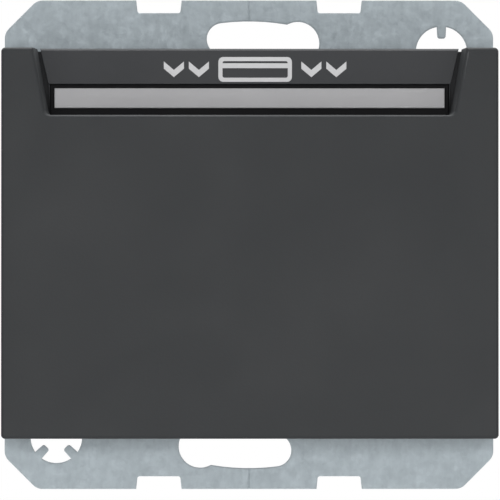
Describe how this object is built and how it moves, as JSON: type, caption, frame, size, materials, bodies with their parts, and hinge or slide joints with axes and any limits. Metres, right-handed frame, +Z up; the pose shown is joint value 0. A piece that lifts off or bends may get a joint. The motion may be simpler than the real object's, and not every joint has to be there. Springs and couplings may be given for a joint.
{
  "type": "hotel key card switch",
  "caption": "Flush wall switch for a key card: zinc plate, anthracite cover with a trapezoid cut-out, lit strip, card pocket with lever and microswitch, deep insert with claws.",
  "frame": {"origin": "centre of the support plate's rear face, midway between the two box screw holes, on the wall surface", "axes": "+X right, +Z up as installed, +Y into the wall; the cover faces -Y"},
  "size_m": [0.0712, 0.047, 0.071],
  "materials": {
    "anthracite_carrier": "fine satin anthracite",
    "anthracite_cover": "fine satin anthracite",
    "black_plastic": "matt black",
    "cage_zinc": "zinc plated",
    "can_sleeve": "shrink sleeve over aluminium",
    "circuit_board": "green solder mask",
    "claw_steel": "zinc plated",
    "film_yellow": "moulded yellow box",
    "fuse_glass": "clear glass tube",
    "insert_black": "matt black",
    "insert_grey": "matt light grey",
    "led_yellow": "clear dome in white case",
    "lever_white": "natural acetal",
    "plunger_red": "moulded red",
    "relay_black": "moulded black",
    "resistor_body": "lacquered film resistor",
    "spring_steel": "drawn spring wire",
    "steel_pin": "ground steel",
    "terminal_brass": "plain brass",
    "tinned_pin": "tinned",
    "translucent_strip": "translucent grey, satin",
    "varistor_blue": "dipped epoxy",
    "zinc_screw": "zinc plated",
    "zinc_sheet": "zinc plated, mottled"
  },
  "bodies": {
    "base": {"card_carrier": "anthracite_carrier", "carrier_screws": "zinc_screw", "component_leads": "tinned_pin", "electrolytic_capacitor": "can_sleeve", "film_capacitor": "film_yellow", "fuse": "fuse_glass", "housing_screws": "zinc_screw", "insert_back": "insert_grey", "insert_housing": "insert_grey", "insert_lid": "insert_black", "led_board": "circuit_board", "leds": "led_yellow", "lever_pin": "steel_pin", "lever_spring": "spring_steel", "light_strip": "translucent_strip", "link_header": "black_plastic", "link_pins": "tinned_pin", "microswitch_body": "black_plastic", "microswitch_pins": "tinned_pin", "power_board": "circuit_board", "rectifier": "black_plastic", "relay_case": "relay_black", "series_resistor": "resistor_body", "support_plate": "zinc_sheet", "terminal_bars": "terminal_brass", "terminal_block": "insert_black", "varistor": "varistor_blue"},
    "cover": {"front_cover": "anthracite_cover"},
    "lever": {"card_lever": "lever_white"},
    "plunger": {"microswitch_plunger": "plunger_red"},
    "claw_screw_left": {"claw_screw_left": "zinc_screw"},
    "claw_nut_left": {"claw_nut_left": "cage_zinc"},
    "claw_left": {"claw_left": "claw_steel"},
    "claw_screw_right": {"claw_screw_right": "zinc_screw"},
    "claw_nut_right": {"claw_nut_right": "cage_zinc"},
    "claw_right": {"claw_right": "claw_steel"},
    "terminal_screw_1": {"terminal_screw_1": "zinc_screw"},
    "terminal_cage_1": {"terminal_cage_1": "cage_zinc"},
    "terminal_screw_2": {"terminal_screw_2": "zinc_screw"},
    "terminal_cage_2": {"terminal_cage_2": "cage_zinc"},
    "terminal_screw_3": {"terminal_screw_3": "zinc_screw"},
    "terminal_cage_3": {"terminal_cage_3": "cage_zinc"},
    "terminal_screw_4": {"terminal_screw_4": "zinc_screw"},
    "terminal_cage_4": {"terminal_cage_4": "cage_zinc"}
  },
  "joints": [
    {"name": "cover_pull", "type": "slide", "parent": "base", "child": "cover", "axis": [0, -1, 0], "range_m": [0, 0.03]},
    {"name": "lever_hinge", "type": "hinge", "parent": "base", "child": "lever", "pos_m": [0, -0.0056, -0.0186], "axis": [1, 0, 0], "range_deg": [0, 16], "deforming": ["lever_spring"]},
    {"name": "plunger_slide", "type": "slide", "parent": "base", "child": "plunger", "axis": [0, -1, 0], "range_m": [0, 0.00162], "stiffness_N_per_m": 2, "springref_m": -0.004},
    {"name": "claw_screw_left_turn", "type": "hinge", "parent": "base", "child": "claw_screw_left", "pos_m": [-0.0233, 0, 0], "axis": [0, 1, 0], "range_deg": [0, 8640]},
    {"name": "claw_nut_left_slide", "type": "slide", "parent": "base", "child": "claw_nut_left", "axis": [0, -1, 0], "range_m": [0, 0.012]},
    {"name": "claw_left_spread", "type": "hinge", "parent": "base", "child": "claw_left", "pos_m": [-0.0225, 0.0016, 0], "axis": [0, 0, 1], "range_deg": [0, 15.6]},
    {"name": "claw_screw_right_turn", "type": "hinge", "parent": "base", "child": "claw_screw_right", "pos_m": [0.0233, 0, 0], "axis": [0, 1, 0], "range_deg": [0, 8640]},
    {"name": "claw_nut_right_slide", "type": "slide", "parent": "base", "child": "claw_nut_right", "axis": [0, -1, 0], "range_m": [0, 0.012]},
    {"name": "claw_right_spread", "type": "hinge", "parent": "base", "child": "claw_right", "pos_m": [0.0225, 0.0016, 0], "axis": [0, 0, -1], "range_deg": [0, 15.6]},
    {"name": "terminal_screw_1_turn", "type": "hinge", "parent": "base", "child": "terminal_screw_1", "pos_m": [-0.012, 0.0243, -0.0165], "axis": [0, 0, 1], "range_deg": [0, 1440]},
    {"name": "terminal_cage_1_slide", "type": "slide", "parent": "base", "child": "terminal_cage_1", "axis": [0, 0, -1], "range_m": [0, 0.002]},
    {"name": "terminal_screw_2_turn", "type": "hinge", "parent": "base", "child": "terminal_screw_2", "pos_m": [-0.004, 0.0243, -0.0165], "axis": [0, 0, 1], "range_deg": [0, 1440]},
    {"name": "terminal_cage_2_slide", "type": "slide", "parent": "base", "child": "terminal_cage_2", "axis": [0, 0, -1], "range_m": [0, 0.002]},
    {"name": "terminal_screw_3_turn", "type": "hinge", "parent": "base", "child": "terminal_screw_3", "pos_m": [0.004, 0.0243, -0.0165], "axis": [0, 0, 1], "range_deg": [0, 1440]},
    {"name": "terminal_cage_3_slide", "type": "slide", "parent": "base", "child": "terminal_cage_3", "axis": [0, 0, -1], "range_m": [0, 0.002]},
    {"name": "terminal_screw_4_turn", "type": "hinge", "parent": "base", "child": "terminal_screw_4", "pos_m": [0.012, 0.0243, -0.0165], "axis": [0, 0, 1], "range_deg": [0, 1440]},
    {"name": "terminal_cage_4_slide", "type": "slide", "parent": "base", "child": "terminal_cage_4", "axis": [0, 0, -1], "range_m": [0, 0.002]}
  ],
  "couplings": [
    {"joint": "lever_hinge", "follows": "plunger_slide", "rad_per_m": 172.3},
    {"joint": "claw_screw_left_turn", "follows": "claw_nut_left_slide", "rad_per_m": 12566},
    {"joint": "claw_left_spread", "follows": "claw_nut_left_slide", "rad_per_m": 22.68},
    {"joint": "claw_screw_right_turn", "follows": "claw_nut_right_slide", "rad_per_m": 12566},
    {"joint": "claw_right_spread", "follows": "claw_nut_right_slide", "rad_per_m": 22.68},
    {"joint": "terminal_screw_1_turn", "follows": "terminal_cage_1_slide", "rad_per_m": 12566},
    {"joint": "terminal_screw_2_turn", "follows": "terminal_cage_2_slide", "rad_per_m": 12566},
    {"joint": "terminal_screw_3_turn", "follows": "terminal_cage_3_slide", "rad_per_m": 12566},
    {"joint": "terminal_screw_4_turn", "follows": "terminal_cage_4_slide", "rad_per_m": 12566}
  ]
}
